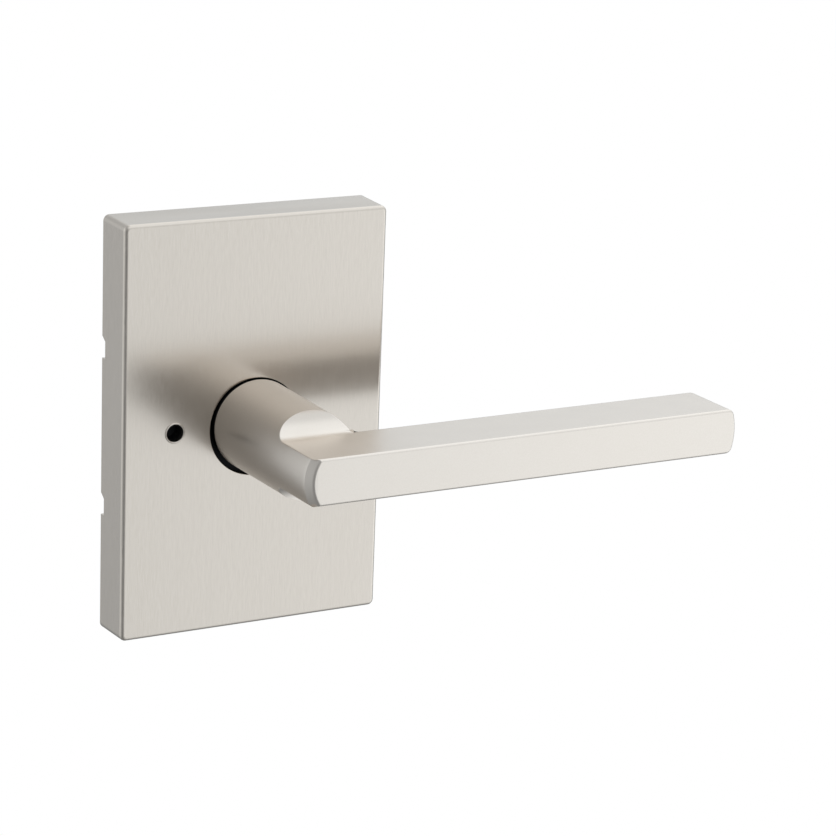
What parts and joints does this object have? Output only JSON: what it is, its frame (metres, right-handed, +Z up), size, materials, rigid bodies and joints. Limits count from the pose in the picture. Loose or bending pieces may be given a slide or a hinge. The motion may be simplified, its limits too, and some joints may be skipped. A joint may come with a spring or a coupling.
{
  "type": "door lever handle",
  "caption": "Outside half of a privacy door lever: tall rectangular rose, round hub turning into a flat square-edged bar, sprung spindle drive and a pin-hole emergency release.",
  "frame": {"origin": "on the spindle axis, in the plane of the door's face (the back of the rose and mounting plate)", "axes": "+X along the lever at rest, +Y into the door along the spindle, +Z up"},
  "size_m": [0.1499, 0.1074, 0.1094],
  "materials": {
    "satin_nickel_plate": "satin nickel with a fine upright grain",
    "satin_nickel_lever": "satin nickel, bead blasted and lightly brushed",
    "moulded_grey": "moulded nylon",
    "black_acetal": "moulded acetal",
    "zinc_plated_steel": "bright zinc plate",
    "cast_zinc": "black passivated die casting",
    "turned_steel": "turned and oiled",
    "spring_steel": "hard drawn wire and strip",
    "black_steel": "black oxide"
  },
  "bodies": {
    "chassis": {"rose_cover": "satin_nickel_plate", "rose_liner": "moulded_grey", "cover_clips": "spring_steel", "liner_screws": "zinc_plated_steel", "mounting_plate": "zinc_plated_steel", "screw_posts": "zinc_plated_steel", "spring_housing": "cast_zinc", "housing_screws": "zinc_plated_steel", "front_bush": "black_acetal", "friction_washer": "black_acetal", "rear_bush": "black_acetal", "thrust_washer": "zinc_plated_steel", "return_spring": "spring_steel", "release_guide": "black_acetal", "release_cap": "black_acetal", "release_spring": "spring_steel"},
    "lever": {"lever": "satin_nickel_lever", "spindle_sleeve": "turned_steel", "set_screw": "black_steel", "drive_cam": "zinc_plated_steel", "retaining_ring": "spring_steel", "spindle": "turned_steel", "spindle_pin": "turned_steel"},
    "plunger": {"release_plunger": "black_acetal"}
  },
  "joints": [
    {"name": "lever_turn", "type": "hinge", "parent": "chassis", "child": "lever", "pos_m": [0, 0, 0], "axis": [0, 1, 0], "range_deg": [-45, 45], "stiffness_Nm_per_rad": 1.6, "springref_deg": -5.16, "deforming": ["return_spring"]},
    {"name": "release_push", "type": "slide", "parent": "chassis", "child": "plunger", "axis": [0, 1, 0], "range_m": [0, 0.003], "stiffness_N_per_m": 250, "springref_m": -0.002, "deforming": ["release_spring"]}
  ]
}
